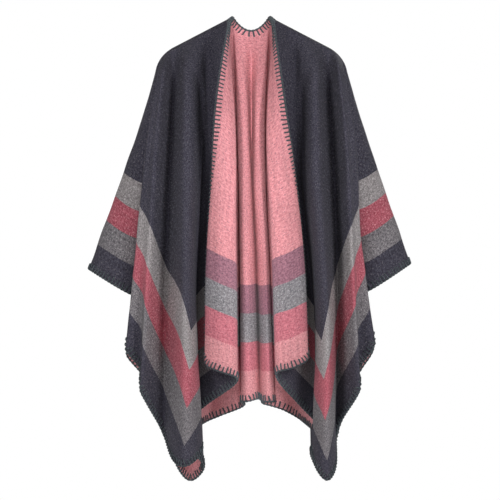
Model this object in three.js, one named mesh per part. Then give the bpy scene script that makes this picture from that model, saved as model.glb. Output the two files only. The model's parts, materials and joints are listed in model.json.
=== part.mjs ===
// A woven wrap poncho: one blanket-weight rectangle of cloth, slit from the front hem to the neck,
// hanging open at the front as it does on a wearer's shoulders.
//
// Frame: millimetres, +Z up, -Y towards the front, -X on the left of a front view.
// The origin is midway between the two neck points, where the wearer's shoulders hold the cloth up.
//
// The drape is worked out from fold lines. A fold line starts on the shoulder line and runs down to the
// border, and it hangs as long as the cut is along it. The cloth passes through the lines in turn.
import * as THREE from "three";

// The flat cut
const HALF_WIDTH = 650; // centre to side edge
const HALF_LENGTH = 750; // shoulder line to hem, front and back alike
const CORNER_RADIUS = 95; // the four outer corners
const SLIT_RADIUS = 28; // the two corners where the slit meets the hem
const NECK_HALF = 40; // half of the neck opening along the shoulder line
const NECK_DEPTH = 20; // how far the neck is cut into the back
const WALL = 2.4; // thickness of the double-faced cloth
const SEAM_GAP = 0.3; // between the front and back stretches, along the shoulder line

// The shoulders that hold it
const NECK_POINT = new THREE.Vector3(38, 0, 0);
const SHOULDER_POINT = new THREE.Vector3(184, 0, -76);
const LEFT_SLEEVE = { end: new THREE.Vector3(330, 0, -497), sag: 10 };
const RIGHT_SLEEVE = { end: new THREE.Vector3(324, 0, -486), sag: 7 };
const SAG_PLACE = 0.7; // under 1 puts the deepest sag nearer the shoulder
const SHOULDER_ROUND = 34; // the rounding at the shoulder point, to each side
const NAPE_OUT = 30; // how far behind the neck points the nape lies
const NAPE_DOWN = 27;

// The way over the shoulder, before a fold line falls
const ROLL_SHARE = 0.11; // of the fold line's length
const ROLL_OUT = 0.52; // of its first move to the front or back
const ROLL_ACROSS = 0.25; // of its first move sideways
const LEAST_DROP = 0.3; // of a stretch's length
const RIDGE_START = 230; // where the last fold line leaves the shoulder, as the sleeve's ridge

// How finely the solids are cut up
const FINE_STEPS = 8; // between two fold lines, where the folds are rounded
const KEPT_STEPS = [0, 2, 4, 6]; // of those, the ones that the solids keep
const ROUNDINGS = 6; // more of them give every fold a larger radius
const ROWS = 10;
const ROW_SPREAD = 1.2; // over 1 puts more rows near the shoulder

// The fold lines, in the order in which the cloth passes through them.
// start: from the centre along the shoulder line. hem: from the centre along the hem, on round
// the outer corner and up the side edge. x1 y1, x2 y2, x3 y3: the line's place at a third of its
// length, at two thirds and at the border. z3: the height of its foot.
const COLUMNS = ["name", "start", "hem", "x1", "y1", "x2", "y2", "x3", "y3", "z3"];

const FRONT_LEFT = foldLines([
  ["opening edge", 40, -14, -68, -153, -83, -118, -88, -108, -664],
  ["lapel roll", 43, 20, -61, -151, -85, -130, -92, -124, -690],
  ["lapel face", 47, 55, -47, -144, -57, -142, -58, -140, -706],
  ["lapel fold", 52, 100, -31, -118, -27, -118, -23, -112, -720],
  ["behind the lapel", 70, 200, -58, -100, -86, -84, -80, -66, -764],
  ["opening valley front", 86, 325, -83, -80, -112, -48, -122, -26, -800],
  ["opening valley back", 96, 395, -95, -86, -126, -50, -142, -32, -826],
  ["lobe inner edge", 112, 500, -101, -124, -106, -112, -93, -112, -856],
  ["front corner lobe", 145, 620, -130, -148, -131, -154, -129, -168, -893],
  ["corner turn", 157, 685, -146, -124, -148, -122, -155, -130, -881],
  ["chest valley", 170, 745, -163, -94, -173, -80, -175, -82, -824],
  ["side ridge", 188, 845, -188, -130, -204, -133, -221, -138, -738],
  ["side dip", 198, 905, -196, -120, -213, -114, -217, -98, -700],
  ["front fold edge", 207, 974, -208, -108, -230, -100, -254, -110, -654],
  ["arm valley front", 213, 1085, -180, -70, -168, -38, -180, -36, -606],
  ["arm valley back", 219, 1160, -184, -52, -176, -20, -190, -18, -574],
  ["sleeve front", 225, 1258, -210, -46, -234, -50, -246, -74, -549],
]);

const BACK = foldLines([
  ["left sleeve back", -225, -1258, -210, 42, -234, 48, -247, 70, -546],
  ["left arm valley back", -219, -1160, -184, 46, -176, 18, -188, 20, -576],
  ["left arm valley front", -213, -1085, -180, 64, -168, 36, -178, 38, -610],
  ["left back fold edge", -207, -974, -208, 98, -229, 96, -255, 106, -666],
  ["left back dip", -198, -905, -196, 112, -212, 114, -216, 96, -715],
  ["left back side ridge", -188, -845, -188, 120, -205, 132, -224, 140, -746],
  ["left back valley", -170, -745, -162, 84, -173, 76, -172, 84, -828],
  ["left back corner turn", -157, -688, -146, 106, -147, 112, -148, 124, -900],
  ["left back corner lobe", -145, -625, -130, 126, -124, 144, -121, 160, -930],
  ["left lobe inner edge", -112, -510, -104, 106, -105, 96, -92, 108, -892],
  ["left inner valley back", -99, -430, -98, 80, -124, 46, -144, 42, -852],
  ["left inner valley front", -88, -365, -88, 80, -110, 42, -126, 34, -830],
  ["left back ridge", -64, -268, -60, 114, -78, 104, -86, 122, -806],
  ["left seat", -50, -208, -44, 106, -52, 96, -60, 106, -795],
  ["left pleat turn", -40, -150, -26, 104, -20, 112, -14, 118, -777],
  ["left pleat edge", -27, -118, -26, 84, -22, 76, -20, 74, -767],
  ["left pleat face", -19, -90, -16, 76, -9, 62, -6, 56, -767],
  ["left pleat side", -9, -62, -5, 80, 3, 74, 10, 70, -762],
  ["centre valley", 0, -34, 1, 96, 11, 95, 18, 96, -762],
  ["right pleat side", 9, -4, 7, 80, 19, 74, 26, 70, -767],
  ["right pleat face", 18, 24, 18, 76, 30, 62, 38, 56, -767],
  ["right pleat edge", 27, 52, 27, 84, 38, 76, 48, 76, -767],
  ["right pleat turn", 40, 88, 28, 104, 28, 114, 20, 122, -771],
  ["right seat", 48, 150, 43, 106, 50, 96, 58, 106, -781],
  ["right back ridge", 62, 212, 60, 114, 78, 104, 94, 122, -800],
  ["right inner valley front", 88, 315, 88, 80, 112, 42, 130, 34, -830],
  ["right inner valley back", 99, 385, 98, 80, 125, 46, 148, 42, -850],
  ["right lobe inner edge", 112, 478, 104, 106, 112, 96, 118, 106, -870],
  ["right back corner lobe", 145, 625, 130, 126, 137, 144, 149, 160, -920],
  ["right back corner turn", 157, 688, 146, 106, 154, 112, 166, 124, -894],
  ["right back valley", 170, 745, 162, 84, 173, 76, 173, 84, -824],
  ["right back side ridge", 188, 845, 188, 120, 204, 130, 215, 138, -740],
  ["right back dip", 198, 905, 196, 112, 210, 114, 214, 96, -712],
  ["right back fold edge", 207, 974, 208, 98, 223, 96, 250, 106, -654],
  ["right arm valley front", 213, 1085, 180, 64, 167, 36, 176, 38, -602],
  ["right arm valley back", 219, 1160, 184, 46, 175, 18, 186, 20, -570],
  ["right sleeve back", 225, 1258, 207, 42, 229, 48, 241, 70, -538],
]);

const FRONT_RIGHT = foldLines([
  ["sleeve front", 225, 1258, 206, -46, 226, -50, 238, -74, -543],
  ["arm valley back", 219, 1160, 184, -52, 172, -20, 186, -18, -568],
  ["arm valley front", 213, 1085, 180, -70, 164, -38, 176, -36, -598],
  ["front fold edge", 207, 974, 208, -108, 221, -100, 251, -110, -642],
  ["side dip", 198, 905, 196, -122, 207, -116, 209, -96, -705],
  ["side ridge", 188, 845, 188, -134, 202, -140, 218, -150, -739],
  ["chest valley", 170, 745, 167, -86, 173, -78, 168, -80, -824],
  ["corner turn", 157, 688, 148, -120, 162, -116, 168, -128, -897],
  ["front corner lobe", 145, 625, 132, -148, 152, -154, 150, -168, -922],
  ["lobe inner edge", 112, 505, 106, -124, 124, -112, 121, -112, -874],
  ["opening valley back", 96, 400, 97, -86, 130, -50, 150, -32, -832],
  ["opening valley front", 86, 325, 83, -80, 116, -48, 130, -26, -806],
  ["behind the lapel", 70, 200, 58, -100, 90, -84, 88, -66, -762],
  ["lapel fold", 52, 100, 30, -118, 38, -118, 47, -112, -708],
  ["lapel face", 47, 55, 47, -144, 70, -144, 82, -140, -698],
  ["lapel roll", 43, 20, 60, -151, 99, -134, 114, -126, -680],
  ["opening edge", 40, -14, 66, -153, 98, -118, 110, -108, -664],
]);

function foldLines(rows) {
  return rows.map((row) => Object.fromEntries(COLUMNS.map((column, i) => [column, row[i]])));
}

// The shoulder line at a distance from the centre: out along the shoulder, round the shoulder
// point and down the sleeve. Nearer the centre than NECK_HALF it is the neckline of the back.
function shoulderLine(distance) {
  const along = Math.abs(distance);
  const sleeve = distance < 0 ? LEFT_SLEEVE : RIGHT_SLEEVE;
  const point = along < NECK_HALF ? neckline(along) : shoulderAndSleeve(along - NECK_HALF, sleeve);
  point.x *= Math.sign(distance) || 1;
  return point;
}

function neckline(along) {
  const turn = (along / NECK_HALF) * (Math.PI / 2);
  return new THREE.Vector3(
    NECK_POINT.x * Math.sin(turn),
    NAPE_OUT * Math.cos(turn),
    -NAPE_DOWN * Math.cos(turn) ** 2,
  );
}

function shoulderAndSleeve(along, sleeve) {
  const shoulderLength = NECK_POINT.distanceTo(SHOULDER_POINT);
  const sleeveLength = HALF_WIDTH - NECK_HALF - shoulderLength;
  const past = along - shoulderLength;
  const onShoulder = (back) => SHOULDER_POINT.clone().lerp(NECK_POINT, back / shoulderLength);
  const onSleeve = (down) => {
    const share = down / sleeveLength;
    const point = SHOULDER_POINT.clone().lerp(sleeve.end, share);
    point.x -= sleeve.sag * Math.sin(Math.PI * share ** SAG_PLACE);
    return point;
  };
  if (past < -SHOULDER_ROUND) return onShoulder(-past);
  if (past > SHOULDER_ROUND) return onSleeve(past);
  const ends = [onShoulder(SHOULDER_ROUND), onSleeve(SHOULDER_ROUND)];
  const rounding = new THREE.QuadraticBezierCurve3(ends[0], SHOULDER_POINT, ends[1]);
  return rounding.getPoint((past + SHOULDER_ROUND) / (2 * SHOULDER_ROUND));
}

// Where a place on the border lies in the flat cut: x out from the centre, y down from the shoulder.
function borderPlace(hem, slit) {
  const along = Math.abs(hem);
  if (slit && hem < SLIT_RADIUS) {
    const turn = (SLIT_RADIUS - hem) / SLIT_RADIUS;
    return new THREE.Vector2(
      SLIT_RADIUS * (1 - Math.sin(turn)),
      HALF_LENGTH - SLIT_RADIUS * (1 - Math.cos(turn)),
    );
  }
  const straight = HALF_WIDTH - CORNER_RADIUS;
  if (along < straight) return new THREE.Vector2(hem, HALF_LENGTH);
  const turn = Math.min((along - straight) / CORNER_RADIUS, Math.PI / 2);
  const upTheSide = Math.max(0, along - straight - (CORNER_RADIUS * Math.PI) / 2);
  return new THREE.Vector2(
    Math.sign(hem) * (straight + CORNER_RADIUS * Math.sin(turn)),
    HALF_LENGTH - CORNER_RADIUS * (1 - Math.cos(turn)) - upTheSide,
  );
}

// How far the cut reaches along a fold line, from the shoulder line or neckline to the border.
function lengthOf(line, slit) {
  const turn = (Math.abs(line.start) / NECK_HALF) * (Math.PI / 2);
  const cutIn = turn < Math.PI / 2 ? NECK_DEPTH * Math.cos(turn) : 0;
  return borderPlace(line.hem, slit).distanceTo(new THREE.Vector2(line.start, cutIn));
}

// The point that lies a length of cloth below another, with its x and y given.
function hangFrom(point, x, y, length) {
  const slant = Math.hypot(x - point.x, y - point.y);
  const drop = Math.sqrt(Math.max(length ** 2 - slant ** 2, (LEAST_DROP * length) ** 2));
  return new THREE.Vector3(x, y, point.z - drop);
}

// A fold line's points, one for each row. The cloth's own weight stretches it to reach its foot.
function hangLine(line, side, slit) {
  const length = lengthOf(line, slit);
  const start = side * line.start;
  const top = shoulderLine(start);
  const rollX = top.x + ROLL_ACROSS * (line.x1 - top.x);
  const rollY = top.y + ROLL_OUT * (line.y1 - top.y);
  const roll = hangFrom(top, rollX, rollY, ROLL_SHARE * length);
  const upper = hangFrom(roll, line.x1, line.y1, (1 / 3 - ROLL_SHARE) * length);
  const lower = hangFrom(upper, line.x2, line.y2, length / 3);
  const foot = hangFrom(lower, line.x3, line.y3, length / 3);
  const stretched = (line.z3 - top.z) / (foot.z - top.z);
  for (const point of [roll, upper, lower, foot]) {
    point.z = top.z + stretched * (point.z - top.z);
  }
  const curve = new THREE.CatmullRomCurve3([top, roll, upper, lower, foot]);
  return { start, points: ROW_SHARES.map((share) => curve.getPoint(curveParameter(share))) };
}

// The curve's own parameter at a share of the fold line's length.
function curveParameter(share) {
  const known = [0, ROLL_SHARE, 1 / 3, 2 / 3, 1];
  const span = Math.min(known.findLastIndex((end) => end <= share), known.length - 2);
  const within = (share - known[span]) / (known[span + 1] - known[span]);
  return (span + within) / (known.length - 1);
}

// The ridge of a sleeve is the last fold line on each side, and lies along the shoulder line itself.
function ridgeLine(side) {
  const start = side * RIDGE_START;
  const reach = side * (HALF_WIDTH - RIDGE_START);
  return { start, points: ROW_SHARES.map((share) => shoulderLine(start + share * reach)) };
}

// The whole cloth as columns of points: its fold lines, and the steps between them.
function drape(lines) {
  const steps = (lines.length - 1) * FINE_STEPS;
  const rows = ROW_SHARES.map((_, row) => {
    const through = new THREE.CatmullRomCurve3(lines.map((line) => line.points[row]));
    return roundFolds(through.getPoints(steps));
  });
  const columns = [];
  for (let step = 0; step <= steps; step++) {
    if (!KEPT_STEPS.includes(step % FINE_STEPS)) continue;
    const line = Math.min(Math.floor(step / FINE_STEPS), lines.length - 2);
    const within = step / FINE_STEPS - line;
    const start = THREE.MathUtils.lerp(lines[line].start, lines[line + 1].start, within);
    columns.push([shoulderLine(start), ...rows.slice(1).map((row) => row[step])]);
  }
  return columns;
}

// Heavy cloth has no sharp folds: each point moves half way to the middle of its neighbours.
function roundFolds(points) {
  let row = points;
  for (let round = 0; round < ROUNDINGS; round++) {
    row = row.map((point, i) => {
      if (i === 0 || i === row.length - 1) return point;
      return point.clone().lerp(row[i - 1].clone().lerp(row[i + 1], 0.5), 0.5);
    });
  }
  return row;
}

// The part of the net from one fold line to another. A ridge keeps to the shoulder line's plane.
function stretchOf(net, from, to) {
  const columns = net.slice(from * KEPT_STEPS.length, to * KEPT_STEPS.length + 1);
  return columns.map((column, i) => {
    const isRidge = (i === 0 && from > 0) || (i === columns.length - 1 && to < LINES.length - 1);
    return isRidge ? column.map((point) => new THREE.Vector3(point.x, 0, point.z)) : column;
  });
}

const onShoulderLine = (point) => Math.abs(point.y) < 1e-6;

// The way that the cloth faces at a point of the net. Along the shoulder line both stretches
// face the same way, square to that line.
function facing(net, i, j) {
  if (onShoulderLine(net[i][j])) {
    const neighbours = [net[i - 1]?.[j], net[i][j - 1], net[i][j + 1], net[i + 1]?.[j]];
    const along = neighbours.filter((point) => point && onShoulderLine(point));
    const line = along.at(-1).clone().sub(along[0]);
    return new THREE.Vector3(-line.z, 0, line.x).multiplyScalar(Math.sign(line.x)).normalize();
  }
  const across = (net[i + 1] ?? net[i])[j].clone().sub((net[i - 1] ?? net[i])[j]);
  const down = (net[i][j + 1] ?? net[i][j]).clone().sub(net[i][j - 1] ?? net[i][j]);
  return across.cross(down).normalize();
}

// The closed wall of a stretch. The gap that parts it from the next stretch is to its back or front.
function clothWall(net, towards) {
  const positions = [];
  for (const half of [WALL / 2, -WALL / 2]) {
    net.forEach((column, i) =>
      column.forEach((point, j) => {
        const moved = point.clone().addScaledVector(facing(net, i, j), half);
        if (onShoulderLine(point)) moved.y = (towards * SEAM_GAP) / 2;
        positions.push(moved.x, moved.y, moved.z);
      }),
    );
  }
  const columns = net.length;
  const inside = columns * (ROWS + 1);
  const outer = (i, j) => i * (ROWS + 1) + j;
  const inner = (i, j) => inside + outer(i, j);
  const faces = [];
  const quad = (a, b, c, d) => faces.push(a, b, c, a, c, d);
  for (let i = 0; i < columns - 1; i++) {
    for (let j = 0; j < ROWS; j++) {
      quad(outer(i, j), outer(i + 1, j), outer(i + 1, j + 1), outer(i, j + 1));
      quad(inner(i, j), inner(i, j + 1), inner(i + 1, j + 1), inner(i + 1, j));
    }
    quad(outer(i, 0), inner(i, 0), inner(i + 1, 0), outer(i + 1, 0));
    quad(outer(i, ROWS), outer(i + 1, ROWS), inner(i + 1, ROWS), inner(i, ROWS));
  }
  for (let j = 0; j < ROWS; j++) {
    quad(outer(0, j), outer(0, j + 1), inner(0, j + 1), inner(0, j));
    quad(outer(columns - 1, j), inner(columns - 1, j), inner(columns - 1, j + 1), outer(columns - 1, j + 1));
  }
  const geometry = new THREE.BufferGeometry();
  geometry.setAttribute("position", new THREE.Float32BufferAttribute(positions, 3));
  geometry.setIndex(faces);
  geometry.computeVertexNormals();
  return geometry;
}

function clothPiece(name, net, towards) {
  const cloth = new THREE.MeshStandardMaterial({ color: 0x3a3d45, roughness: 0.95, metalness: 0 });
  const mesh = new THREE.Mesh(clothWall(net, towards), cloth);
  mesh.name = name;
  return mesh;
}

const ROW_SHARES = Array.from({ length: ROWS + 1 }, (_, row) => (row / ROWS) ** ROW_SPREAD);

const LINES = [
  ...FRONT_LEFT.map((line) => hangLine(line, -1, true)),
  ridgeLine(-1),
  ...BACK.map((line) => hangLine(line, 1, false)),
  ridgeLine(1),
  ...FRONT_RIGHT.map((line) => hangLine(line, 1, true)),
];
const LEFT_RIDGE = FRONT_LEFT.length;
const RIGHT_RIDGE = LEFT_RIDGE + BACK.length + 1;

const net = drape(LINES);
const poncho = new THREE.Group();
poncho.add(
  clothPiece("front_left", stretchOf(net, 0, LEFT_RIDGE), -1),
  clothPiece("back", stretchOf(net, LEFT_RIDGE, RIGHT_RIDGE), 1),
  clothPiece("front_right", stretchOf(net, RIGHT_RIDGE, LINES.length - 1), -1),
);

export default poncho;
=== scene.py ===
# %% [markdown]
# # An open-front wrap poncho
# The real wrap is a single piece of heavy double-faced cloth. It is charcoal outside and salmon
# pink inside, with bands of grey and rose woven in parallel to its four edges. One slit runs from
# the front hem up to the neck, and a thick yarn is sewn over every edge.
#
# Such a wrap could be modelled as loose panels, but the bands and the sewn edge run on from one
# panel to the next. So this lesson makes it as it was made: one flat cut, hung over the shoulders.

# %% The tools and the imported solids
import json
import math
import random

import bmesh
import bpy
import numpy as np
from mathutils import Matrix, Vector, noise
from mathutils.bvhtree import BVHTree

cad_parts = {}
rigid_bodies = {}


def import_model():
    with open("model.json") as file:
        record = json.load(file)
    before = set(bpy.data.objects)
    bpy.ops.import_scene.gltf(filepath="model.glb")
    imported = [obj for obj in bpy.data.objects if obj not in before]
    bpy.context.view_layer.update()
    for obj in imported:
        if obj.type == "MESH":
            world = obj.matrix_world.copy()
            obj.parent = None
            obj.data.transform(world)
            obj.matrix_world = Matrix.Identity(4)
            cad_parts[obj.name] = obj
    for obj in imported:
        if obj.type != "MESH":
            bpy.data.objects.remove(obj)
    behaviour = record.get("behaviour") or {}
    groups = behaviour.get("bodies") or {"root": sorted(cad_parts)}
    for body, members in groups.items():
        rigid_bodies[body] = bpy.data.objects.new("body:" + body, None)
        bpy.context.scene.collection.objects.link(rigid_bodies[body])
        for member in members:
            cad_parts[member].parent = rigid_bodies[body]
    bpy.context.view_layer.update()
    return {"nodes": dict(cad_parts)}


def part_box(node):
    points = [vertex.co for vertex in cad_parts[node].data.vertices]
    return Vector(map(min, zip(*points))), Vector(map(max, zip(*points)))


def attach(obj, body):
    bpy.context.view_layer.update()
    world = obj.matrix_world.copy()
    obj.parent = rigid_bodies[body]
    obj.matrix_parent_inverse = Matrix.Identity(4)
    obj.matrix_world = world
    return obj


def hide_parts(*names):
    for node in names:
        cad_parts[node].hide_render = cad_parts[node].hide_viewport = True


for leftover in list(bpy.data.objects):
    bpy.data.objects.remove(leftover)
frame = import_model()
MM = 0.001  # the cut is written in millimetres, and Blender works in metres

for name in sorted(frame["nodes"]):
    low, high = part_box(name)
    print(f"{name}: {[round(x, 3) for x in low]} to {[round(x, 3) for x in high]}")

# %% [markdown]
# ## The flat cut
# A weaver's cutting plan needs few numbers: the width from sleeve hem to sleeve hem, the length
# from front hem to back hem, the rounding of the corners, the slit and the neck. Places on the cut
# are written as u, out from the centre, and v, down the back. The front has negative v.
# The shoulders add the line that the cloth hangs from.

# %% The sizes of the cut and of the shoulders
HALF_WIDTH = 650
HALF_LENGTH = 750
CORNER_RADIUS = 95
SLIT_RADIUS = 28
NECK_HALF = 40
NECK_DEPTH = 20
SIDE_BAND = 50  # width of each woven band along the sides
HEM_BAND = 56  # and along the two hems
WALL = 2.4

NECK_POINT = np.array([38, 0, 0])
SHOULDER_POINT = np.array([184, 0, -76])
LEFT_SLEEVE_END = np.array([330, 0, -497])
RIGHT_SLEEVE_END = np.array([324, 0, -486])
LEFT_SAG = 10
RIGHT_SAG = 7
SAG_PLACE = 0.7
SHOULDER_ROUND = 34
NAPE_OUT = 30
NAPE_DOWN = 27

ROLL_SHARE = 0.11
ROLL_OUT = 0.52
ROLL_ACROSS = 0.25
LEAST_DROP = 0.3
RIDGE_START = 230

# %% [markdown]
# ## The fold lines
# Hanging cloth falls in folds, and each ridge or valley is nearly a plain line from the shoulder to
# the border. A simulation would find some folds, but not these ones. So each fold is a row of a
# table: where it leaves the shoulder line, where it meets the border, and its place at a third, at
# two thirds and at its foot. The heights in between follow from the length of the cloth.

# %% The table of fold lines, in millimetres
COLUMNS = ["name", "start", "hem", "x1", "y1", "x2", "y2", "x3", "y3", "z3"]

FRONT_LEFT = [
    ("opening edge", 40, -14, -68, -153, -83, -118, -88, -108, -664),
    ("lapel roll", 43, 20, -61, -151, -85, -130, -92, -124, -690),
    ("lapel face", 47, 55, -47, -144, -57, -142, -58, -140, -706),
    ("lapel fold", 52, 100, -31, -118, -27, -118, -23, -112, -720),
    ("behind the lapel", 70, 200, -58, -100, -86, -84, -80, -66, -764),
    ("opening valley front", 86, 325, -83, -80, -112, -48, -122, -26, -800),
    ("opening valley back", 96, 395, -95, -86, -126, -50, -142, -32, -826),
    ("lobe inner edge", 112, 500, -101, -124, -106, -112, -93, -112, -856),
    ("front corner lobe", 145, 620, -130, -148, -131, -154, -129, -168, -893),
    ("corner turn", 157, 685, -146, -124, -148, -122, -155, -130, -881),
    ("chest valley", 170, 745, -163, -94, -173, -80, -175, -82, -824),
    ("side ridge", 188, 845, -188, -130, -204, -133, -221, -138, -738),
    ("side dip", 198, 905, -196, -120, -213, -114, -217, -98, -700),
    ("front fold edge", 207, 974, -208, -108, -230, -100, -254, -110, -654),
    ("arm valley front", 213, 1085, -180, -70, -168, -38, -180, -36, -606),
    ("arm valley back", 219, 1160, -184, -52, -176, -20, -190, -18, -574),
    ("sleeve front", 225, 1258, -210, -46, -234, -50, -246, -74, -549),
]
BACK = [
    ("left sleeve back", -225, -1258, -210, 42, -234, 48, -247, 70, -546),
    ("left arm valley back", -219, -1160, -184, 46, -176, 18, -188, 20, -576),
    ("left arm valley front", -213, -1085, -180, 64, -168, 36, -178, 38, -610),
    ("left back fold edge", -207, -974, -208, 98, -229, 96, -255, 106, -666),
    ("left back dip", -198, -905, -196, 112, -212, 114, -216, 96, -715),
    ("left back side ridge", -188, -845, -188, 120, -205, 132, -224, 140, -746),
    ("left back valley", -170, -745, -162, 84, -173, 76, -172, 84, -828),
    ("left back corner turn", -157, -688, -146, 106, -147, 112, -148, 124, -900),
    ("left back corner lobe", -145, -625, -130, 126, -124, 144, -121, 160, -930),
    ("left lobe inner edge", -112, -510, -104, 106, -105, 96, -92, 108, -892),
    ("left inner valley back", -99, -430, -98, 80, -124, 46, -144, 42, -852),
    ("left inner valley front", -88, -365, -88, 80, -110, 42, -126, 34, -830),
    ("left back ridge", -64, -268, -60, 114, -78, 104, -86, 122, -806),
    ("left seat", -50, -208, -44, 106, -52, 96, -60, 106, -795),
    ("left pleat turn", -40, -150, -26, 104, -20, 112, -14, 118, -777),
    ("left pleat edge", -27, -118, -26, 84, -22, 76, -20, 74, -767),
    ("left pleat face", -19, -90, -16, 76, -9, 62, -6, 56, -767),
    ("left pleat side", -9, -62, -5, 80, 3, 74, 10, 70, -762),
    ("centre valley", 0, -34, 1, 96, 11, 95, 18, 96, -762),
    ("right pleat side", 9, -4, 7, 80, 19, 74, 26, 70, -767),
    ("right pleat face", 18, 24, 18, 76, 30, 62, 38, 56, -767),
    ("right pleat edge", 27, 52, 27, 84, 38, 76, 48, 76, -767),
    ("right pleat turn", 40, 88, 28, 104, 28, 114, 20, 122, -771),
    ("right seat", 48, 150, 43, 106, 50, 96, 58, 106, -781),
    ("right back ridge", 62, 212, 60, 114, 78, 104, 94, 122, -800),
    ("right inner valley front", 88, 315, 88, 80, 112, 42, 130, 34, -830),
    ("right inner valley back", 99, 385, 98, 80, 125, 46, 148, 42, -850),
    ("right lobe inner edge", 112, 478, 104, 106, 112, 96, 118, 106, -870),
    ("right back corner lobe", 145, 625, 130, 126, 137, 144, 149, 160, -920),
    ("right back corner turn", 157, 688, 146, 106, 154, 112, 166, 124, -894),
    ("right back valley", 170, 745, 162, 84, 173, 76, 173, 84, -824),
    ("right back side ridge", 188, 845, 188, 120, 204, 130, 215, 138, -740),
    ("right back dip", 198, 905, 196, 112, 210, 114, 214, 96, -712),
    ("right back fold edge", 207, 974, 208, 98, 223, 96, 250, 106, -654),
    ("right arm valley front", 213, 1085, 180, 64, 167, 36, 176, 38, -602),
    ("right arm valley back", 219, 1160, 184, 46, 175, 18, 186, 20, -570),
    ("right sleeve back", 225, 1258, 207, 42, 229, 48, 241, 70, -538),
]
FRONT_RIGHT = [
    ("sleeve front", 225, 1258, 206, -46, 226, -50, 238, -74, -543),
    ("arm valley back", 219, 1160, 184, -52, 172, -20, 186, -18, -568),
    ("arm valley front", 213, 1085, 180, -70, 164, -38, 176, -36, -598),
    ("front fold edge", 207, 974, 208, -108, 221, -100, 251, -110, -642),
    ("side dip", 198, 905, 196, -122, 207, -116, 209, -96, -705),
    ("side ridge", 188, 845, 188, -134, 202, -140, 218, -150, -739),
    ("chest valley", 170, 745, 167, -86, 173, -78, 168, -80, -824),
    ("corner turn", 157, 688, 148, -120, 162, -116, 168, -128, -897),
    ("front corner lobe", 145, 625, 132, -148, 152, -154, 150, -168, -922),
    ("lobe inner edge", 112, 505, 106, -124, 124, -112, 121, -112, -874),
    ("opening valley back", 96, 400, 97, -86, 130, -50, 150, -32, -832),
    ("opening valley front", 86, 325, 83, -80, 116, -48, 130, -26, -806),
    ("behind the lapel", 70, 200, 58, -100, 90, -84, 88, -66, -762),
    ("lapel fold", 52, 100, 30, -118, 38, -118, 47, -112, -708),
    ("lapel face", 47, 55, 47, -144, 70, -144, 82, -140, -698),
    ("lapel roll", 43, 20, 60, -151, 99, -134, 114, -126, -680),
    ("opening edge", 40, -14, 66, -153, 98, -118, 110, -108, -664),
]

folds = len(FRONT_LEFT) + len(BACK) + len(FRONT_RIGHT)
print(f"{folds} fold lines, and a ridge along each sleeve")
print("each fold line has", ", ".join(COLUMNS))

# %% [markdown]
# ## The line that carries the cloth
# A wearer's shoulders hold the wrap along one line: across the back of the neck, out along each
# shoulder, round the shoulder point and down the arm as the ridge of a sleeve. Every fold starts on
# it. A function of the distance from the centre gives any point of it, so the cut's own distances
# can be used to find places in space.

# %% The shoulder line
def shoulder_line(distance):
    """The point of the shoulder line at a distance from the centre, left of it if negative."""
    along = abs(distance)
    if along < NECK_HALF:
        point = neckline(along)
    elif distance < 0:
        point = shoulder_and_sleeve(along - NECK_HALF, LEFT_SLEEVE_END, LEFT_SAG)
    else:
        point = shoulder_and_sleeve(along - NECK_HALF, RIGHT_SLEEVE_END, RIGHT_SAG)
    side = -1 if distance < 0 else 1
    return point * [side, 1, 1]


def neckline(along):
    turn = along / NECK_HALF * math.pi / 2
    x = NECK_POINT[0] * math.sin(turn)
    return np.array([x, NAPE_OUT * math.cos(turn), -NAPE_DOWN * math.cos(turn) ** 2])


def shoulder_and_sleeve(along, sleeve_end, sag):
    shoulder_length = np.linalg.norm(SHOULDER_POINT - NECK_POINT)
    sleeve_length = HALF_WIDTH - NECK_HALF - shoulder_length

    def on_shoulder(back):
        return SHOULDER_POINT + (NECK_POINT - SHOULDER_POINT) * back / shoulder_length

    def on_sleeve(down):
        share = down / sleeve_length
        point = SHOULDER_POINT + (sleeve_end - SHOULDER_POINT) * share
        return point - [sag * math.sin(math.pi * share**SAG_PLACE), 0, 0]

    past = along - shoulder_length
    if past < -SHOULDER_ROUND:
        return on_shoulder(-past)
    if past > SHOULDER_ROUND:
        return on_sleeve(past)
    t = (past + SHOULDER_ROUND) / (2 * SHOULDER_ROUND)
    first, last = on_shoulder(SHOULDER_ROUND), on_sleeve(SHOULDER_ROUND)
    return first * (1 - t) ** 2 + SHOULDER_POINT * 2 * t * (1 - t) + last * t**2


for distance in (0, NECK_HALF, 200, 400, HALF_WIDTH):
    print(f"{distance} mm out: {[round(float(x)) for x in shoulder_line(distance)]}")

# %% [markdown]
# ## One fold line
# A fold line is as long as the cloth along it, so its drop can be worked out: what the cloth moves
# sideways, it can't fall. Its own weight then stretches or eases it a little to reach its foot.
# A smooth curve through the few known places gives the points between. The flat places ride along
# in the same rows, so that every point in space also knows its place on the cut.

# %% The border of the cut and the hang of a line
ROWS = 66
ROW_CROWDING = 1.1  # puts the rows slightly closer together near the shoulder
SHARES = (np.arange(ROWS + 1) / ROWS) ** ROW_CROWDING
FINE = 200  # steps of a fold line's curve, from which its rows are read


def border_place(hem, slit):
    """Where the cut's border lies, at a distance from the centre along the hem and up the side."""
    if slit and hem < SLIT_RADIUS:
        turn = (SLIT_RADIUS - hem) / SLIT_RADIUS
        x = SLIT_RADIUS * (1 - math.sin(turn))
        return np.array([x, HALF_LENGTH - SLIT_RADIUS * (1 - math.cos(turn))])
    straight = HALF_WIDTH - CORNER_RADIUS
    if abs(hem) < straight:
        return np.array([hem, HALF_LENGTH])
    turn = min((abs(hem) - straight) / CORNER_RADIUS, math.pi / 2)
    up_the_side = max(0, abs(hem) - straight - CORNER_RADIUS * math.pi / 2)
    x = straight + CORNER_RADIUS * math.sin(turn)
    y = HALF_LENGTH - CORNER_RADIUS * (1 - math.cos(turn)) - up_the_side
    return np.array([math.copysign(x, hem), y])


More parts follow.
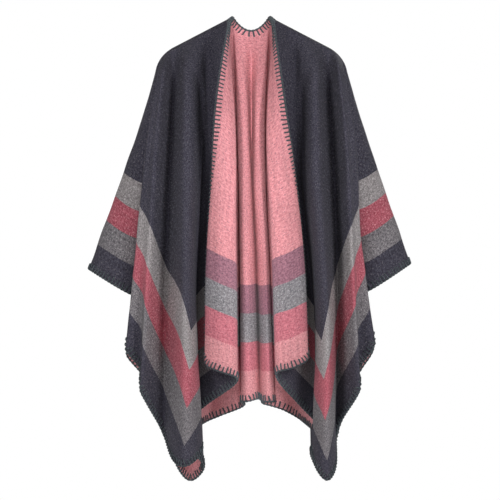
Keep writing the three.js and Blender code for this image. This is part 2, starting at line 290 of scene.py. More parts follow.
def cut_in(start):
    """How deep the neck is cut into the back at a distance from the centre."""
    turn = min(abs(start) / NECK_HALF, 1) * math.pi / 2
    return NECK_DEPTH * math.cos(turn)


def hang_from(point, x, y, length):
    slant = math.hypot(x - point[0], y - point[1])
    drop = math.sqrt(max(length**2 - slant**2, (LEAST_DROP * length) ** 2))
    return np.array([x, y, point[2] - drop])


def through(knots, steps):
    """A centripetal spline through rows of points, with so many steps from one to the next."""
    ends = [2 * knots[0] - knots[1], 2 * knots[-1] - knots[-2]]
    padded = np.concatenate([ends[0][None], knots, ends[1][None]])
    apart = np.linalg.norm(np.diff(padded, axis=0)[..., :3], axis=-1, keepdims=True) ** 0.5
    curve = []
    for i in range(1, len(padded) - 2):
        before, span, after = apart[i - 1], apart[i], apart[i + 1]
        p, q, r, s = padded[i - 1 : i + 3]
        leave = ((q - p) / before - (r - p) / (before + span) + (r - q) / span) * span
        arrive = ((r - q) / span - (s - q) / (span + after) + (s - r) / after) * span
        for t in steps:
            cubic = (2 * q - 2 * r + leave + arrive) * t**3
            square = (3 * r - 3 * q - 2 * leave - arrive) * t**2
            curve.append(q + leave * t + (cubic + square))
    return np.array([*curve, knots[-1]])


def hang_line(fold, side, slit):
    """A fold line's points, one for each row: x, y and z in space, then u and v on the cut."""
    _, start, hem, x1, y1, x2, y2, x3, y3, z3 = fold
    place = border_place(hem, slit)
    inner = np.array([start, cut_in(start)])
    length = np.linalg.norm(place - inner)
    top = shoulder_line(side * start)
    roll_x = top[0] + ROLL_ACROSS * (x1 - top[0])
    roll_y = top[1] + ROLL_OUT * (y1 - top[1])
    roll = hang_from(top, roll_x, roll_y, ROLL_SHARE * length)
    upper = hang_from(roll, x1, y1, (1 / 3 - ROLL_SHARE) * length)
    lower = hang_from(upper, x2, y2, length / 3)
    foot = hang_from(lower, x3, y3, length / 3)
    knots = np.array([top, roll, upper, lower, foot])
    knots[:, 2] = top[2] + (knots[:, 2] - top[2]) * (z3 - top[2]) / (foot[2] - top[2])
    down = -1 if slit else 1
    flat = (inner + (place - inner) * SHARES[:, None]) * [side, down]
    return np.concatenate([at_shares(knots), flat], axis=1)


def at_shares(knots):
    curve = through(knots, np.arange(FINE) / FINE)
    known = np.array([0, ROLL_SHARE, 1 / 3, 2 / 3, 1])
    place = np.interp(SHARES, known, np.arange(len(known))) * FINE
    return np.array([np.interp(place, np.arange(len(curve)), curve[:, k]) for k in range(3)]).T


example = FRONT_LEFT[0]
foot = hang_line(example, -1, True)[-1]
print(f"{example[0]}: foot at {[round(float(x)) for x in foot[:3]]}")

# %% [markdown]
# ## The drape
# The cloth passes through the fold lines in turn, from one edge of the slit round the back to the
# other. A spline through all the lines at one height gives a level section of the folds. Heavy
# cloth has no sharp folds, so each section is then rounded: every point moves half way to the
# middle of its neighbours, a few times over.

# %% All the columns of the drape
STEPS = 8  # columns from one fold line to the next
ROUNDINGS = 6


def ridge_line(side):
    outs = RIDGE_START + SHARES * (HALF_WIDTH - RIDGE_START)
    return np.array([[*shoulder_line(side * out), side * out, 0] for out in outs])


def round_folds(columns):
    for _ in range(ROUNDINGS):
        middle = (columns[:-2] + columns[2:]) / 2
        columns = np.concatenate([columns[:1], (columns[1:-1] + middle) / 2, columns[-1:]])
    return columns


lines = [hang_line(fold, -1, True) for fold in FRONT_LEFT] + [ridge_line(-1)]
lines += [hang_line(fold, 1, False) for fold in BACK] + [ridge_line(1)]
lines += [hang_line(fold, 1, True) for fold in FRONT_RIGHT]
drape = round_folds(through(np.array(lines), np.arange(STEPS) / STEPS))
line_starts = [line[0, 3] for line in lines]
starts = np.interp(np.arange(len(drape)), np.arange(len(lines)) * STEPS, line_starts)
LEFT_RIDGE = len(FRONT_LEFT) * STEPS
RIGHT_RIDGE = LEFT_RIDGE + (len(BACK) + 1) * STEPS
print(f"{len(drape)} columns of {ROWS + 1} points")

# %% [markdown]
# ## One cloth over the shoulders
# Front and back are the same cloth, so their columns have to leave the shoulder line at the same
# places, or the two would not join. The back is read again at the front's distances from the
# centre. Between the neck points it keeps its own columns.

# %% The back's columns, matched to the front's
NECK_COLUMNS = 119


def back_at(distances):
    back = np.arange(LEFT_RIDGE, RIGHT_RIDGE + 1)
    place = np.interp(distances, starts[back], back)
    low = np.minimum(np.floor(place).astype(int), len(drape) - 2)
    share = (place - low)[:, None, None]
    return drape[low] * (1 - share) + drape[low + 1] * share


front_left = np.arange(LEFT_RIDGE)
front_right = np.arange(RIGHT_RIDGE + 1, len(drape))
across_neck = np.linspace(-NECK_HALF, NECK_HALF, NECK_COLUMNS + 2)[1:-1]
distances = np.concatenate(
    [starts[: LEFT_RIDGE + 1], starts[:LEFT_RIDGE][::-1], across_neck, starts[front_right][::-1],
     starts[RIGHT_RIDGE:]]
)
middle = back_at(distances[LEFT_RIDGE + 1 : -len(front_right) - 1])
cloth_net = np.concatenate([drape[: LEFT_RIDGE + 1], middle, drape[RIGHT_RIDGE:]])
for column, distance in zip(cloth_net, distances):
    column[0, :3] = shoulder_line(distance)
    column[0, 3:] = distance, cut_in(distance)
print(f"{len(cloth_net)} columns, {len(front_left)} of them in each front")

# %% [markdown]
# ## Soft creases
# Between its large folds, thick cloth still carries long soft pulls: down from the shoulder point,
# beside the turned-back edges, and where a fold was pressed. Each one here is a line on the cut, with
# a width and a depth. Raising the cloth along its own normal by a bell curve round that line gives
# a soft trough or ridge. A little slow noise keeps the spaces between from looking machined.
#
# Along its normal, a deep valley would run into itself. So the four valleys that shade the front and
# the three gaps between the pleats in the middle of the back are pushed straight back instead.

# %% Troughs and ridges, placed on the cut, in millimetres
CREASE_COLUMNS = ["name", "u1", "v1", "u2", "v2", "width", "rise"]  # a valley's rise is its push back
CREASES = [
    ("left shoulder pull", -172, -40, -205, -330, 13, -2.6),
    ("left shoulder ridge", -150, -55, -190, -300, 11, 1.8),
    ("left chest pull", -96, -60, -150, -390, 15, -2.2),
    ("left chest ridge", -120, -90, -228, -440, 14, 1.9),
    ("left lapel shadow", -62, -60, -100, -330, 9, -1.7),
    ("left band pull", -300, -330, -420, -620, 14, -2.0),
    ("left corner press", -470, -560, -600, -700, 11, 1.6),
    ("left sleeve pull", -300, -30, -470, -70, 16, -2.4),
    ("left cuff ridge", -430, -60, -620, -95, 12, 1.9),
    ("right shoulder pull", 170, -45, 214, -290, 12, -2.4),
    ("right shoulder ridge", 146, -50, 178, -350, 12, 1.7),
    ("right chest pull", 92, -70, 132, -420, 14, -2.3),
    ("right chest ridge", 118, -110, 205, -400, 13, 2.0),
    ("right lapel shadow", 60, -50, 92, -360, 9, -1.6),
    ("right band pull", 290, -360, 440, -640, 13, -2.1),
    ("right corner press", 500, -590, 610, -690, 12, 1.5),
    ("right sleeve pull", 310, -36, 500, -60, 15, -2.2),
    ("right cuff ridge", 440, -80, 610, -70, 12, 1.7),
    ("back left shoulder pull", -160, 45, -230, 360, 14, -2.5),
    ("back left ridge", -120, 60, -170, 420, 13, 1.9),
    ("back left seat pull", -215, 380, -300, 660, 16, -2.1),
    ("back left sleeve pull", -310, 34, -480, 66, 15, -2.3),
    ("back left corner press", -480, 570, -610, 690, 12, 1.6),
    ("back yoke pull", -20, 60, 10, 330, 10, 1.2),
    ("back right shoulder pull", 165, 40, 222, 330, 13, -2.4),
    ("back right ridge", 124, 75, 188, 390, 13, 1.8),
    ("back right seat pull", 205, 400, 320, 650, 15, -2.2),
    ("back right sleeve pull", 320, 30, 490, 72, 16, -2.1),
    ("back right corner press", 490, 560, 600, 700, 12, 1.5),
]
VALLEYS = [
    ("left chest valley", -172, -10, -645, -612, 18, 24),
    ("left lapel valley", -114, -15, -520, -745, 20, 20),
    ("right chest valley", 172, -10, 645, -612, 18, 24),
    ("right lapel valley", 114, -15, 520, -745, 20, 20),
    ("left pleat gap", -37, 40, -161, 750, 8, 18),
    ("centre pleat gap", 0, 40, -34, 750, 8, 30),
    ("right pleat gap", 40, 40, 89, 750, 8, 18),
]
SLOW_NOISE = 1.5  # height of the slow unevenness
NOISE_ACROSS = 0.02  # waves a millimetre, across the folds and down them
NOISE_DOWN = 0.006
START_FADE = 8  # creases come in over the first eighth of the way down
END_FADE = 4  # and fade over a quarter of their own length
END_REST = 0.25  # to this share at their very ends


def net_normals(net):
    across = np.gradient(net[..., :3], axis=0)
    down = np.gradient(net[..., :3], axis=1)
    normals = np.cross(across, down)
    return normals / np.maximum(np.linalg.norm(normals, axis=-1, keepdims=True), 1e-9)


def crease_rise(cut, crease):
    """How far a crease lifts each place of the cut, fading out towards its two ends."""
    _, u1, v1, u2, v2, width, rise = crease
    run = np.array([u2 - u1, v2 - v1])
    along = ((cut - [u1, v1]) @ run) / (run @ run)
    aside = np.abs((cut[..., 0] - u1) * run[1] - (cut[..., 1] - v1) * run[0]) / np.linalg.norm(run)
    fade = np.clip(np.minimum(along, 1 - along) * END_FADE + END_REST, 0, 1)
    return rise * fade * np.exp(-((aside / width) ** 2))


def slow_noise(cut):
    waves = [noise.noise((u * NOISE_ACROSS, v * NOISE_DOWN, 0)) for u, v in cut.reshape(-1, 2)]
    return SLOW_NOISE * np.array(waves).reshape(cut.shape[:-1])


cut_places = cloth_net[..., 3:]
rise = slow_noise(cut_places) + sum(crease_rise(cut_places, crease) for crease in CREASES)
fade_in = np.clip(SHARES * START_FADE, 0, 1)
rise *= fade_in
cloth_net[..., :3] += net_normals(cloth_net) * rise[..., None]
push = sum(crease_rise(cut_places, valley) for valley in VALLEYS)
cloth_net[..., 1] += push * fade_in
print("each crease has", ", ".join(CREASE_COLUMNS))
print(f"{len(CREASES)} creases, from {rise.min():.1f} to {rise.max():.1f} mm")
print(f"{len(VALLEYS)} valleys, up to {push.max():.0f} mm deep")

# %% [markdown]
# ## The cloth as a mesh
# Cloth is one sheet of quads. A grid operator makes the sheet, and its points are then moved to the
# drape, so that the faces stay in tidy rows along the folds. The flat places become the UV map,
# which is what a weaver's bands and threads have to follow. Along the shoulders the front's and the
# back's top points coincide, and merging them makes it one cloth.

# %% The sheet, moved to the drape
def cloth_sheet(name, net):
    """A mesh object whose grid of points is a net of columns, with the cut as its UV map."""
    columns, rows = len(net), net.shape[1]
    bm = bmesh.new()
    bmesh.ops.create_grid(bm, x_segments=columns - 1, y_segments=rows - 1, size=0.5)
    flat_of = {}
    for vert in bm.verts:
        column = round((vert.co.x + 0.5) * (columns - 1))
        row = round((vert.co.y + 0.5) * (rows - 1))
        x, y, z, u, v = net[column, row] * MM
        vert.co = (x, y, z)
        flat_of[vert] = (u, v, row)
    uv_map = bm.loops.layers.uv.new("cut")
    for face in bm.faces:
        for loop in face.loops:
            loop[uv_map].uv = flat_of[loop.vert][:2]
    tops = [v for v, (u, _, row) in flat_of.items() if row == 0 and abs(u) >= NECK_HALF * MM - 1e-7]
    bmesh.ops.remove_doubles(bm, verts=tops, dist=1e-6)
    mesh = bpy.data.meshes.new(name)
    bm.to_mesh(mesh)
    bm.free()
    mesh.shade_smooth()
    sheet = bpy.data.objects.new(name, mesh)
    bpy.context.scene.collection.objects.link(sheet)
    return sheet


cloth = cloth_sheet("cloth", cloth_net)
sheet_area = sum(face.area for face in cloth.data.polygons)
print(f"{len(cloth.data.polygons)} quads, {sheet_area:.2f} m2 of cloth")

# %% [markdown]
# ## The sewn edge
# A blanket stitch holds the edge: thick slate yarn goes through the cloth about a centimetre in,
# comes back round the edge, and runs along it to the next stitch. It shows as a row of short bars
# on both faces, with a cord along the rim. Some nine hundred stitches go round this cloth, so one
# is modelled flat, and its copies are laid on the border.
#
# The bar starts as a ring of five points. Extruding and spinning the ring carries it down one face,
# round the edge and up the other.

# %% One stitch, modelled flat: x along the edge, y in from it, z off the middle of the cloth
STITCH_APART = 8.2
STITCH_DEPTH = 11.5
YARN_RADIUS = 1.55
YARN_SIDES = 5
LEG_STEPS = 3
TURN_STEPS = 4  # round the edge
CORD_OUT = 0.6  # how far the cord lies off the rim, as a share of the yarn's lift
CORD_SAG = 0.4  # how far it bows between two bars, as a share of its radius
YARN_LIFT = WALL / 2 + 0.7 * YARN_RADIUS  # the yarn bites a little into the nap


def carry(bm, ring, move, steps):
    """Extrudes a ring of edges along a move, in equal steps, and gives the last ring."""
    for _ in range(steps):
        made = bmesh.ops.extrude_edge_only(bm, edges=ring)["geom"]
        points = [item for item in made if isinstance(item, bmesh.types.BMVert)]
        edges = [item for item in made if isinstance(item, bmesh.types.BMEdge)]
        ring = [edge for edge in edges if len(edge.link_faces) == 1]
        bmesh.ops.translate(bm, verts=points, vec=Vector(move) / steps)
    return ring


def yarn_ring(bm, place, turn):
    matrix = Matrix.Translation(place) @ turn
    circle = bmesh.ops.create_circle(bm, segments=YARN_SIDES, radius=YARN_RADIUS, matrix=matrix)
    edges = {edge for point in circle["verts"] for edge in point.link_edges}
    return sorted(edges, key=lambda edge: edge.index)


def flat_stitch():
    bm = bmesh.new()
    across = Matrix.Rotation(math.pi / 2, 4, "X")
    ring = yarn_ring(bm, (0, STITCH_DEPTH, 0), across)
    ring = carry(bm, ring, (0, -YARN_RADIUS, YARN_LIFT), 1)
    ring = carry(bm, ring, (0, YARN_RADIUS - STITCH_DEPTH, 0), LEG_STEPS)
    spun = bmesh.ops.spin(bm, geom=ring, axis=(1, 0, 0), angle=math.pi, steps=TURN_STEPS)
    ring = [item for item in spun["geom_last"] if isinstance(item, bmesh.types.BMEdge)]
    ring = carry(bm, ring, (0, STITCH_DEPTH - YARN_RADIUS, 0), LEG_STEPS)
    carry(bm, ring, (0, YARN_RADIUS, YARN_LIFT), 1)
    along = Matrix.Rotation(math.pi / 2, 4, "Y")
    ring = yarn_ring(bm, (-STITCH_APART / 2, -CORD_OUT * YARN_LIFT, 0), along)
    ring = carry(bm, ring, (STITCH_APART / 3, -CORD_SAG * YARN_RADIUS, 0), 1)
    ring = carry(bm, ring, (STITCH_APART / 3, 0, 0), 1)
    carry(bm, ring, (STITCH_APART / 3, CORD_SAG * YARN_RADIUS, 0), 1)
    open_edges = [edge for edge in bm.edges if edge.is_boundary]
    bmesh.ops.holes_fill(bm, edges=open_edges, sides=YARN_SIDES)
    bmesh.ops.recalc_face_normals(bm, faces=bm.faces)
    mesh = bpy.data.meshes.new("stitch")
    bm.to_mesh(mesh)
    bm.free()
    return mesh


stitch = flat_stitch()
print(f"one stitch: {len(stitch.vertices)} points, {len(stitch.polygons)} faces")

# %% [markdown]
# Now the border needs to be known as one closed path: down the left edge of the slit, along the
# whole hem, up the right edge of the slit and round the neck. At each place the path also knows the
# way in from the edge. A copy's points first go to their flat place beside the path, and then onto
# the nearest point of the cloth, so that its bars follow every fold.

# %% The border path
SMALL_TURN = 3  # columns or rows in from the edge, to find the way in


def border_path(net):
    """The border's points and the points a little way in from them, each a closed loop."""
    neck = np.flatnonzero(np.abs(distances) <= NECK_HALF + 1e-6)
    neck = neck[(neck > len(front_left)) & (neck < len(net) - len(front_right))][::-1]
    edge = [net[0], net[1:, -1], net[-1, -2::-1], net[neck[1:-1], 0]]
    inner = [net[SMALL_TURN], net[1:, -1 - SMALL_TURN], net[-1 - SMALL_TURN, -2::-1]]
    inner.append(net[neck[1:-1], SMALL_TURN])
    loops = [np.concatenate(edge), np.concatenate(inner)]
    return [np.concatenate([loop, loop[:1]])[:, :3] for loop in loops]


edge_points, inner_points = border_path(cloth_net)
reach = np.concatenate([[0], np.cumsum(np.linalg.norm(np.diff(edge_points, axis=0), axis=1))])
stitch_count = round(reach[-1] / STITCH_APART)
print(f"the border is {reach[-1] / 1000:.2f} m round, for {stitch_count} stitches")


def on_path(points, place):
    return Vector([np.interp(place % reach[-1], reach, points[:, axis]) for axis in range(3)])


# %% All the stitches, laid on the cloth
DEPTH_SPREAD = 0.12
SLANT_SPREAD = 0.16
LOOK_AROUND = 3  # millimetres to either side, to find the way along the edge
random.seed(7)


def lay(place, x, y, z, surface):
    """Where a point of the flat stitch goes, in millimetres."""
    edge = on_path(edge_points, place + x)
    ahead = on_path(edge_points, place + x + LOOK_AROUND)
    behind = on_path(edge_points, place + x - LOOK_AROUND)
    forward = (ahead - behind).normalized()
    inward = on_path(inner_points, place + x) - edge
    inward = (inward - forward * inward.dot(forward)).normalized()
    if y <= 0:
        _, normal, _, _ = surface.find_nearest(edge + inward)
        return edge + inward * y + normal * z
    middle, normal, _, _ = surface.find_nearest(edge + inward * y)
    return middle + normal * z


def all_stitches(name, sheet):
    surface_mesh = bmesh.new()
    surface_mesh.from_mesh(sheet.data)
    bmesh.ops.scale(surface_mesh, vec=(1 / MM,) * 3, verts=surface_mesh.verts)
    surface = BVHTree.FromBMesh(surface_mesh)
    surface_mesh.free()
    bm = bmesh.new()
    apart = reach[-1] / stitch_count
    for count in range(stitch_count):
        before = len(bm.verts)
        bm.from_mesh(stitch)
        bm.verts.ensure_lookup_table()
        deep = 1 + random.uniform(-DEPTH_SPREAD, DEPTH_SPREAD)
        slant = random.uniform(-SLANT_SPREAD, SLANT_SPREAD)
        for vert in bm.verts[before:]:
            x, y, z = vert.co
            leaning = x * apart / STITCH_APART + slant * max(y, 0)
            vert.co = lay(count * apart, leaning, y * deep if y > 0 else y, z, surface) * MM
    mesh = bpy.data.meshes.new(name)
    bm.to_mesh(mesh)
    bm.free()
    mesh.shade_smooth()
    sewn = bpy.data.objects.new(name, mesh)
    bpy.context.scene.collection.objects.link(sewn)
    return sewn


stitches = all_stitches("blanket_stitch", cloth)
print(f"{stitch_count} stitches with {len(stitches.data.polygons)} faces")

# %% [markdown]
# ## Thickness
# The cloth is a sheet without thickness so far. Solidify gives it its two faces and a rim, half to
# each side, so the folds stay where they are. Its material offset puts the second material in the
# list on the inner face, which is how a double-faced cloth gets two colours from one mesh.

# %% Two faces and a rim
wall = cloth.modifiers.new("wall", "SOLIDIFY")
wall.thickness = WALL * MM
wall.offset = 0
wall.material_offset = 1
wall.use_rim = True
print(f"the wall is {WALL} mm thick")

# %% [markdown]
# ## The woven bands
# Three bands run round the cloth inside its plain rim, each parallel to the nearest edge and mitred
# at the corners. That makes the band a matter of one number: the distance to the nearest side or hem
# of the cut. The distance, divided by the width of a band, goes into a colour ramp with hard steps.
# The slit cuts straight across the bands, so it has no part in the sum. A slow drift of a few
# millimetres lets the steps wander as woven edges do.
#
# The yarn is heathered: each band is spun from fibres of two tones, with flecks of a third. Noise
# stretched along the warp and along the weft mixes them. The same noise and the height of the
# threads drive the bump, so light catches the weave.

# %% Node helpers
def colour(r, g, b):
    """A screen colour from 0 to 255, as the linear colour that Blender's nodes want."""
    return (*(((c / 255 + 0.055) / 1.055) ** 2.4 for c in (r, g, b)), 1)


def new_material(name):
    material = bpy.data.materials.new(name)
    material.use_nodes = True
    return material, material.node_tree


def math_node(tree, operation, first, second=None):
    node = tree.nodes.new("ShaderNodeMath")
    node.operation = operation
    for socket, value in zip(node.inputs, (first, second)):
        if isinstance(value, bpy.types.NodeSocket):
            tree.links.new(value, socket)
        elif value is not None:
            socket.default_value = value
    return node.outputs[0]


def noise_node(tree, vector, scale, detail=2.0):
    """Noise on a vector, whose scale may differ along u and v. Gives its factor."""
    mapping = tree.nodes.new("ShaderNodeMapping")
    mapping.inputs["Scale"].default_value = scale
    texture = tree.nodes.new("ShaderNodeTexNoise")
    texture.inputs["Scale"].default_value = 1
    texture.inputs["Detail"].default_value = detail
    tree.links.new(vector, mapping.inputs["Vector"])
    tree.links.new(mapping.outputs["Vector"], texture.inputs["Vector"])
    return texture.outputs["Fac"]


def stretch(tree, value, low, high):
    """Spreads the values between low and high over 0 to 1."""
    node = tree.nodes.new("ShaderNodeMapRange")
    node.inputs["From Min"].default_value = low
    node.inputs["From Max"].default_value = high
    tree.links.new(value, node.inputs["Value"])
    return node.outputs["Result"]


def mix_colours(tree, factor, first, second, blend="MIX"):
    node = tree.nodes.new("ShaderNodeMix")
    node.data_type = "RGBA"
    node.blend_type = blend
    for name, value in (("Factor_Float", factor), ("A_Color", first), ("B_Color", second)):
        socket = next(s for s in node.inputs if s.identifier == name)
        if isinstance(value, bpy.types.NodeSocket):
            tree.links.new(value, socket)
        else:
            socket.default_value = value
    return next(s for s in node.outputs if s.identifier == "Result_Color")


print("colour(128, 128, 128) is", [round(c, 3) for c in colour(128, 128, 128)])

# %% The cloth's two finishes
BANDS = 5  # the rim, three bands and the field
THREAD = 0.0017  # from one thread to the next, in metres
DRIFT = 0.003  # how far a band's edge wanders, in metres

# Waves of noise in a metre, along u and along v
DRIFT_NOISE = (9, 9, 1)
WEFT_NOISE = (190, 420, 1)
WARP_NOISE = (420, 190, 1)
FLECK_NOISE = (330, 330, 1)
NAP_NOISE = (28, 18, 1)
SLUB_NOISE = (150, 7, 1)

# Shades that the nap and the slubs multiply the tone by, from low to high
NAP_SHADES = (0.93, 0.93, 0.94, 1), (1.04, 1.03, 1.03, 1)
SLUB_SHADES = (0.9, 0.9, 0.9, 1), (1.08, 1.08, 1.08, 1)

# The dark, the light and the odd tone of each band's yarn
OUTER_YARNS = [
    ("rim", (46, 44, 54), (76, 74, 86), (108, 105, 112)),
    ("dark grey", (84, 80, 84), (138, 134, 137), (172, 168, 170)),
    ("rose", (142, 62, 76), (192, 108, 120), (216, 154, 160)),
    ("light grey", (116, 110, 112), (168, 163, 163), (200, 196, 195)),
    ("field", (46, 44, 54), (76, 74, 86), (108, 105, 112)),
]
INNER_YARNS = [
    ("rim", (185, 120, 126), (218, 154, 157), (138, 102, 110)),
    ("rose", (166, 88, 101), (204, 128, 138), (122, 76, 88)),
    ("grey", (100, 98, 102), (148, 145, 148), (178, 175, 178)),
    ("mauve", (124, 84, 98), (164, 118, 131), (100, 78, 90)),
    ("field", (185, 117, 124), (218, 151, 155), (136, 99, 109)),
]


def distance_inwards(tree, place):
    """The distance from the nearest side or hem of the cut, in band widths."""
    split = tree.nodes.new("ShaderNodeSeparateXYZ")
    tree.links.new(place, split.inputs[0])
    drift = stretch(tree, noise_node(tree, place, DRIFT_NOISE), 0.25, 0.75)
    drift = math_node(tree, "MULTIPLY", drift, DRIFT)
    bands_in = []
    for axis, half, band in ((0, HALF_WIDTH, SIDE_BAND), (1, HALF_LENGTH, HEM_BAND)):
        out = math_node(tree, "ADD", math_node(tree, "ABSOLUTE", split.outputs[axis]), drift)
        inwards = math_node(tree, "SUBTRACT", half * MM + DRIFT / 2, out)
        bands_in.append(math_node(tree, "DIVIDE", inwards, band * MM))
    return math_node(tree, "MINIMUM", *bands_in)


def band_ramp(tree, bands_in, colours):
    ramp = tree.nodes.new("ShaderNodeValToRGB")
    ramp.color_ramp.interpolation = "CONSTANT"
    steps = ramp.color_ramp.elements
    for band, tone in enumerate(colours):
        step = steps[band] if band < len(steps) else steps.new(band / BANDS)
        step.position = band / BANDS
        step.color = colour(*tone)
    tree.links.new(math_node(tree, "DIVIDE", bands_in, BANDS), ramp.inputs["Fac"])
    return ramp.outputs["Color"]


def threads(tree, place):
    """The height of the woven threads, from 0 to 1."""
    split = tree.nodes.new("ShaderNodeSeparateXYZ")
    tree.links.new(place, split.inputs[0])
    waves = []
    for axis in (0, 1):
        turns = math_node(tree, "MULTIPLY", split.outputs[axis], 2 * math.pi / THREAD)
        waves.append(math_node(tree, "SINE", turns))
    return math_node(tree, "MULTIPLY_ADD", math_node(tree, "MULTIPLY", *waves), 0.5)


def woven_cloth(name, yarns):
    material, tree = new_material(name)
    place = tree.nodes.new("ShaderNodeUVMap")
    place.uv_map = "cut"
    place = place.outputs["UV"]
    bands_in = distance_inwards(tree, place)
    dark, light, odd = (band_ramp(tree, bands_in, [yarn[k] for yarn in yarns]) for k in (1, 2, 3))
    weft = noise_node(tree, place, WEFT_NOISE)
    warp = noise_node(tree, place, WARP_NOISE)
    heather = stretch(tree, math_node(tree, "MULTIPLY", weft, warp), 0.14, 0.36)
    tone = mix_colours(tree, heather, dark, light)
    flecks = stretch(tree, noise_node(tree, place, FLECK_NOISE, 1), 0.6, 0.72)
    tone = mix_colours(tree, flecks, tone, odd)
    nap = stretch(tree, noise_node(tree, place, NAP_NOISE, 3), 0.3, 0.7)
    shade = mix_colours(tree, nap, *NAP_SHADES)
    tone = mix_colours(tree, 1.0, tone, shade, "MULTIPLY")
    slubs = stretch(tree, noise_node(tree, place, SLUB_NOISE), 0.3, 0.7)
    shade = mix_colours(tree, slubs, *SLUB_SHADES)
    tone = mix_colours(tree, 1.0, tone, shade, "MULTIPLY")
    bump = tree.nodes.new("ShaderNodeBump")
    bump.inputs["Strength"].default_value = 0.5
    bump.inputs["Distance"].default_value = 0.0003
    fuzz = math_node(tree, "ADD", threads(tree, place), math_node(tree, "MULTIPLY", heather, 0.5))
    tree.links.new(fuzz, bump.inputs["Height"])
    shader = tree.nodes["Principled BSDF"]
    tree.links.new(tone, shader.inputs["Base Color"])
    tree.links.new(bump.outputs["Normal"], shader.inputs["Normal"])
    shader.inputs["Roughness"].default_value = 0.95
    shader.inputs["Specular IOR Level"].default_value = 0.15
    shader.inputs["Sheen Weight"].default_value = 0.05
    shader.inputs["Sheen Roughness"].default_value = 0.6
    return material


for finish in (woven_cloth("charcoal_face", OUTER_YARNS), woven_cloth("salmon_face", INNER_YARNS)):
    cloth.data.materials.append(finish)
    print(f"{finish.name}: {len(finish.node_tree.nodes)} nodes")

# %% [markdown]
# ## The yarn of the edge
# The sewing yarn is thick, loosely spun and a cold slate. It needs only a tone that varies along it
# and a fine hairy bump. Object coordinates serve here: the stitches lie where they were made.

# %% The slate yarn
def slate_yarn():
    material, tree = new_material("slate_yarn")
    place = tree.nodes.new("ShaderNodeTexCoord").outputs["Object"]
    fibres = stretch(tree, noise_node(tree, place, (900, 900, 900), 3), 0.35, 0.65)
    tone = mix_colours(tree, fibres, colour(36, 42, 48), colour(84, 92, 97))
    bump = tree.nodes.new("ShaderNodeBump")
    bump.inputs["Strength"].default_value = 0.6
    bump.inputs["Distance"].default_value = 0.0004
    tree.links.new(fibres, bump.inputs["Height"])
    shader = tree.nodes["Principled BSDF"]
    tree.links.new(tone, shader.inputs["Base Color"])
    tree.links.new(bump.outputs["Normal"], shader.inputs["Normal"])
    shader.inputs["Roughness"].default_value = 0.9
    shader.inputs["Specular IOR Level"].default_value = 0.2
    shader.inputs["Sheen Weight"].default_value = 0.2
    return material


stitches.data.materials.append(slate_yarn())
print("slate_yarn on", stitches.name)

# %% [markdown]
# ## What stands for what
# The imported solids are hidden, and this cloth is what shows in their place.

# %% Bodies and replaced solids
for piece in (cloth, stitches):
    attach(piece, "root")
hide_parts("front_left", "back", "front_right")
print("the cloth stands for", sorted(frame["nodes"]))

# %% [markdown]
# ## Studio
# A wrap like this is photographed from far away with a long lens, in front of plain white. The floor
# is pale and fades into the white surroundings a few metres out, so no horizon shows. Two soft lights
# in front, one to each side, shape the folds and leave the valleys dark. A weak one between them and
# two tall narrow beams reach into the opening, and a last light is for the back. The surroundings
# give a little more. Plain white has to stay white, so the view uses the standard transform.

# %% Floor, lights and camera
FLOOR_LEVEL = -1.35
FLOOR_RADIUS = 70
FADE_NEAR = 2.5
FADE_FAR = 5
PICTURE = 500  # pixels, both ways
PIXEL = 0.002  # metres of the object's middle plane in a pixel of the photograph
MIDDLE_X = 251  # the pixel column of the object's x = 0
NECK_Y = 17.6  # the pixel row of the neck points
CAMERA_AWAY = 20
SENSOR = 36
BEAM_ANGLE = 11  # degrees from top to bottom, for the light that reaches the pleats
BEAM_NARROW = 0.075  # its width, as a share of its height
BEAM_LEAN = -1.4  # degrees, because the opening drifts to the right on its way down
BEAM_BLEND = 0.5
BEAM_AWAY = 6
BEAM_X = 0.005
BEAM_Z = -0.42
BEAM_ASIDE = 0.4  # each beam stands so far to one side
BEAM_RADIUS = 0.04  # of the lamp, which sets how soft its shadows are
BEAM_POWER = 1100
LIGHTS_AIM = (0, 0, -0.45)
SOFT_LIGHTS = [  # name, place, size, power
    ("front", (-0.3, -9.0, 0.3), 1.4, 60),
    ("left", (-2.4, -3.9, 1.3), 1.3, 86),
    ("right", (2.4, -3.9, 0.9), 1.3, 108),
    ("back", (0.8, 5.0, 1.4), 2.0, 170),
]


def pale_floor():
    bm = bmesh.new()
    matrix = Matrix.Translation((0, 0, FLOOR_LEVEL))
    bmesh.ops.create_circle(bm, cap_ends=True, segments=96, radius=FLOOR_RADIUS, matrix=matrix)
    mesh = bpy.data.meshes.new("floor")
    bm.to_mesh(mesh)
    bm.free()
    floor = bpy.data.objects.new("floor", mesh)
    bpy.context.scene.collection.objects.link(floor)
    material, tree = new_material("pale_floor")
    place = tree.nodes.new("ShaderNodeTexCoord").outputs["Object"]
    away = tree.nodes.new("ShaderNodeVectorMath")
    away.operation = "LENGTH"
    tree.links.new(place, away.inputs[0])
    white = tree.nodes.new("ShaderNodeEmission")
    blend = tree.nodes.new("ShaderNodeMixShader")
    shader = tree.nodes["Principled BSDF"]
    shader.inputs["Base Color"].default_value = (0.9, 0.9, 0.9, 1)
    shader.inputs["Roughness"].default_value = 0.9
    tree.links.new(stretch(tree, away.outputs["Value"], FADE_NEAR, FADE_FAR), blend.inputs[0])
    tree.links.new(shader.outputs[0], blend.inputs[1])
    tree.links.new(white.outputs[0], blend.inputs[2])
    tree.links.new(blend.outputs[0], tree.nodes["Material Output"].inputs["Surface"])
    mesh.materials.append(material)
    return floor


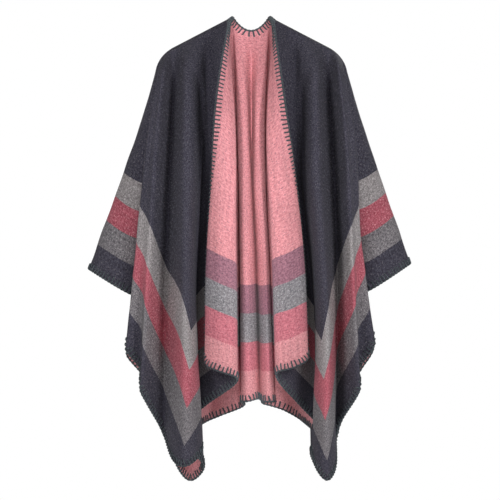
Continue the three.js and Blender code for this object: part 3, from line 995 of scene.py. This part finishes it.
def soft_light(name, place, size, power):
    light = bpy.data.lights.new(name, "AREA")
    light.size = size
    light.energy = power
    lamp = bpy.data.objects.new(name, light)
    lamp.location = place
    aim = Vector(LIGHTS_AIM) - Vector(place)
    lamp.rotation_euler = aim.to_track_quat("-Z", "Y").to_euler()
    bpy.context.scene.collection.objects.link(lamp)


def tall_beam(name, aside):
    """A spot light that looks into the opening, with its cone squeezed to a tall ellipse."""
    light = bpy.data.lights.new(name, "SPOT")
    light.spot_size = math.radians(BEAM_ANGLE)
    light.spot_blend = BEAM_BLEND
    light.shadow_soft_size = BEAM_RADIUS
    light.energy = BEAM_POWER
    lamp = bpy.data.objects.new(name, light)
    lamp.location = (BEAM_X + aside, -BEAM_AWAY, BEAM_Z)
    lamp.rotation_euler = (math.pi / 2, math.radians(BEAM_LEAN), math.atan2(aside, BEAM_AWAY))
    lamp.scale = (BEAM_NARROW, 1, 1)
    bpy.context.scene.collection.objects.link(lamp)


def white_surroundings(seen, given):
    """White where the camera looks at it, and dimmer as a light."""
    world = bpy.data.worlds.new("surroundings")
    world.use_nodes = True
    tree = world.node_tree
    path = tree.nodes.new("ShaderNodeLightPath")
    strength = math_node(tree, "MULTIPLY", path.outputs["Is Camera Ray"], seen - given)
    background = tree.nodes["Background"]
    background.inputs["Color"].default_value = (1, 1, 1, 1)
    tree.links.new(math_node(tree, "ADD", strength, given), background.inputs["Strength"])
    bpy.context.scene.world = world


def long_lens():
    data = bpy.data.cameras.new("camera")
    data.sensor_width = SENSOR
    data.lens = SENSOR * CAMERA_AWAY / (PICTURE * PIXEL)
    data.clip_end = 200
    camera = bpy.data.objects.new("camera", data)
    x = (PICTURE / 2 - MIDDLE_X) * PIXEL
    z = (NECK_Y - PICTURE / 2) * PIXEL
    camera.location = (x, -CAMERA_AWAY, z)
    camera.rotation_euler = (math.pi / 2, 0, 0)
    bpy.context.scene.collection.objects.link(camera)
    bpy.context.scene.camera = camera
    return camera


pale_floor()
for light_row in SOFT_LIGHTS:
    soft_light(*light_row)
tall_beam("beam left", -BEAM_ASIDE)
tall_beam("beam right", BEAM_ASIDE)
white_surroundings(seen=1.0, given=0.08)
bpy.context.scene.view_settings.view_transform = "Standard"
print(f"camera lens {long_lens().data.lens:.0f} mm")
